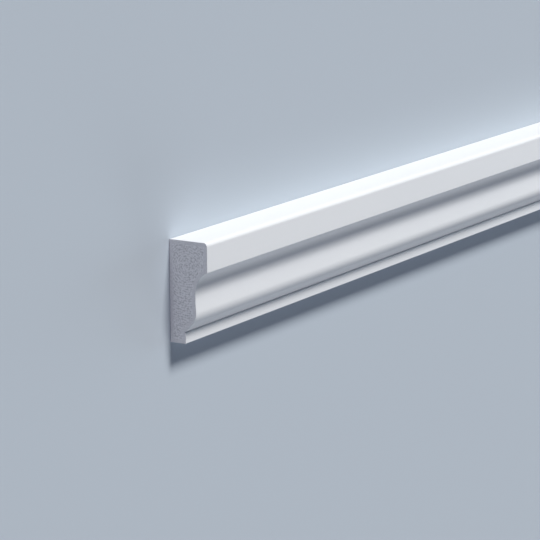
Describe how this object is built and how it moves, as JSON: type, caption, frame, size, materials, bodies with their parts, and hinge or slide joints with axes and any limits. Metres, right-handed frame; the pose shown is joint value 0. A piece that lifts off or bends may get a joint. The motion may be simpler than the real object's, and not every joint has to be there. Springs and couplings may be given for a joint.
{
  "type": "shingle moulding",
  "caption": "Straight stick of white cellular PVC trim with a square nose, a cove, a long hollow face, an ogee, a fine quirk and a flat bottom fillet, nailed up by its flat back.",
  "frame": {"origin": "middle of the flat back, which the stick lies on", "axes": "+X along the stick, +Y from the bottom edge to the top edge as it is nailed up, +Z from the flat back to the front of the nose"},
  "size_m": [2.4384, 0.0412, 0.0175],
  "materials": {
    "white_pvc": "satin extruded skin, sawn cellular ends"
  },
  "bodies": {
    "root": {"moulding": "white_pvc"}
  },
  "joints": []
}
